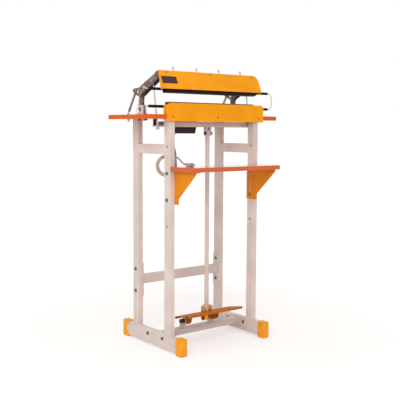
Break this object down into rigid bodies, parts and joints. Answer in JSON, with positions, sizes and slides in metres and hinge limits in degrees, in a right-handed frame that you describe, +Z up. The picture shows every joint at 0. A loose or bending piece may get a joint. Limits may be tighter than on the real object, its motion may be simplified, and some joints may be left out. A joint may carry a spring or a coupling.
{
  "type": "foot pedal sealer",
  "caption": "Bench sealer on a tube frame: a front pedal pulls a sprung upper sealing jaw down onto a heated lower jaw, with a table and a small bag shelf",
  "frame": {"origin": "on the floor, midway between the four legs", "axes": "+X right, +Y rear, +Z up"},
  "size_m": [0.6893, 0.4933, 1.1673],
  "materials": {
    "frame_paint": "matte warm grey-white paint",
    "orange_paint": "satin orange powder coat",
    "cast_metal": "grey-brown painted castings",
    "bright_steel": "plain zinc-plated steel",
    "dark_steel": "blackened steel",
    "yellow_plastic": "moulded yellow-orange plastic",
    "board_laminate": "laminated board",
    "board_edge": "orange edge band",
    "heat_cloth": "brown heat proof cloth",
    "heating_band": "flat resistance band",
    "sleeve_plastic": "pale pink flexible lead",
    "label_metal": "bare satin plate",
    "black_paint": "matte black",
    "black_rubber": "matte black rubber",
    "cord_grey": "grey-brown flexible sheath and plug",
    "black_plastic": "moulded black plastic"
  },
  "bodies": {
    "frame": {"base_rail_right": "frame_paint", "base_rail_left": "frame_paint", "front_leg_right": "frame_paint", "front_leg_left": "frame_paint", "rear_leg_right": "frame_paint", "rear_leg_left": "frame_paint", "side_rail_right": "frame_paint", "side_rail_left": "frame_paint", "rear_crossbar": "frame_paint", "pedal_crossbar": "frame_paint", "shelf_bracket_right": "orange_paint", "shelf_bracket_left": "orange_paint", "lower_jaw_cover": "orange_paint", "pivot_post_right": "cast_metal", "pivot_post_left": "cast_metal", "lower_jaw_beam": "cast_metal", "post_foot_right": "bright_steel", "post_foot_left": "bright_steel", "return_springs": "bright_steel", "spring_anchors": "bright_steel", "hinge_pins": "bright_steel", "pan_screws": "bright_steel", "hexagon_bolts": "dark_steel", "front_foot_cap_right": "yellow_plastic", "front_foot_cap_left": "yellow_plastic", "rear_foot_cap_right": "yellow_plastic", "rear_foot_cap_left": "yellow_plastic", "table_board": "board_laminate", "shelf_board": "board_laminate", "table_edge_band": "board_edge", "shelf_edge_band": "board_edge", "lower_jaw_cloth": "heat_cloth", "lower_heating_element": "heating_band", "heater_leads": "sleeve_plastic", "power_box": "black_paint", "mains_cord": "cord_grey", "cord_coil": "cord_grey", "mains_plug": "cord_grey", "cord_gland": "black_plastic", "lower_terminals": "black_plastic"},
    "upper_jaw": {"jaw_arm_right": "cast_metal", "jaw_arm_left": "cast_metal", "arm_pins": "bright_steel", "upper_jaw_beam": "cast_metal", "upper_jaw_bar": "dark_steel", "upper_terminals": "black_plastic", "upper_heating_element": "heating_band", "upper_jaw_cloth": "heat_cloth", "upper_jaw_cover": "orange_paint", "label_plate": "label_metal", "wing_screws": "bright_steel", "upper_cover_screws": "bright_steel"},
    "yoke_assembly": {"yoke": "frame_paint", "yoke_buffers": "black_rubber", "pull_pin": "bright_steel"},
    "right_rod": {"draw_rod_right": "bright_steel"},
    "left_rod": {"draw_rod_left": "bright_steel"},
    "pull_link": {"pull_rod": "frame_paint"},
    "treadle": {"pedal": "orange_paint", "pedal_pins": "bright_steel"}
  },
  "joints": [
    {"name": "jaw_hinge", "type": "hinge", "parent": "frame", "child": "upper_jaw", "pos_m": [0, 0.048, 1.066], "axis": [1, 0, 0], "range_deg": [0, 14], "stiffness_Nm_per_rad": 25, "springref_deg": -68.75, "deforming": ["return_springs", "heater_leads"]},
    {"name": "yoke_slide", "type": "slide", "parent": "frame", "child": "yoke_assembly", "axis": [0, 0, -1], "range_m": [0, 0.022]},
    {"name": "right_rod_hinge", "type": "hinge", "parent": "upper_jaw", "child": "right_rod", "pos_m": [0.25, -0.03667, 1.1067], "axis": [1, 0, 0], "range_deg": [-12, 0]},
    {"name": "left_rod_hinge", "type": "hinge", "parent": "upper_jaw", "child": "left_rod", "pos_m": [-0.25, -0.03667, 1.1067], "axis": [1, 0, 0], "range_deg": [-12, 0]},
    {"name": "pull_rod_hinge", "type": "hinge", "parent": "yoke_assembly", "child": "pull_link", "pos_m": [0, -0.078, 0.897], "axis": [1, 0, 0], "range_deg": [-1.6, 0]},
    {"name": "pedal_hinge", "type": "hinge", "parent": "frame", "child": "treadle", "pos_m": [0, -0.047, 0.095], "axis": [1, 0, 0], "range_deg": [0, 31]}
  ],
  "couplings": [
    {"joint": "yoke_slide", "follows": "jaw_hinge", "m_per_rad": 0.08881},
    {"joint": "right_rod_hinge", "follows": "jaw_hinge", "ratio": -0.83929},
    {"joint": "left_rod_hinge", "follows": "jaw_hinge", "ratio": -0.83929},
    {"joint": "pull_rod_hinge", "follows": "jaw_hinge", "ratio": -0.09929},
    {"joint": "pedal_hinge", "follows": "jaw_hinge", "ratio": 2.15}
  ]
}
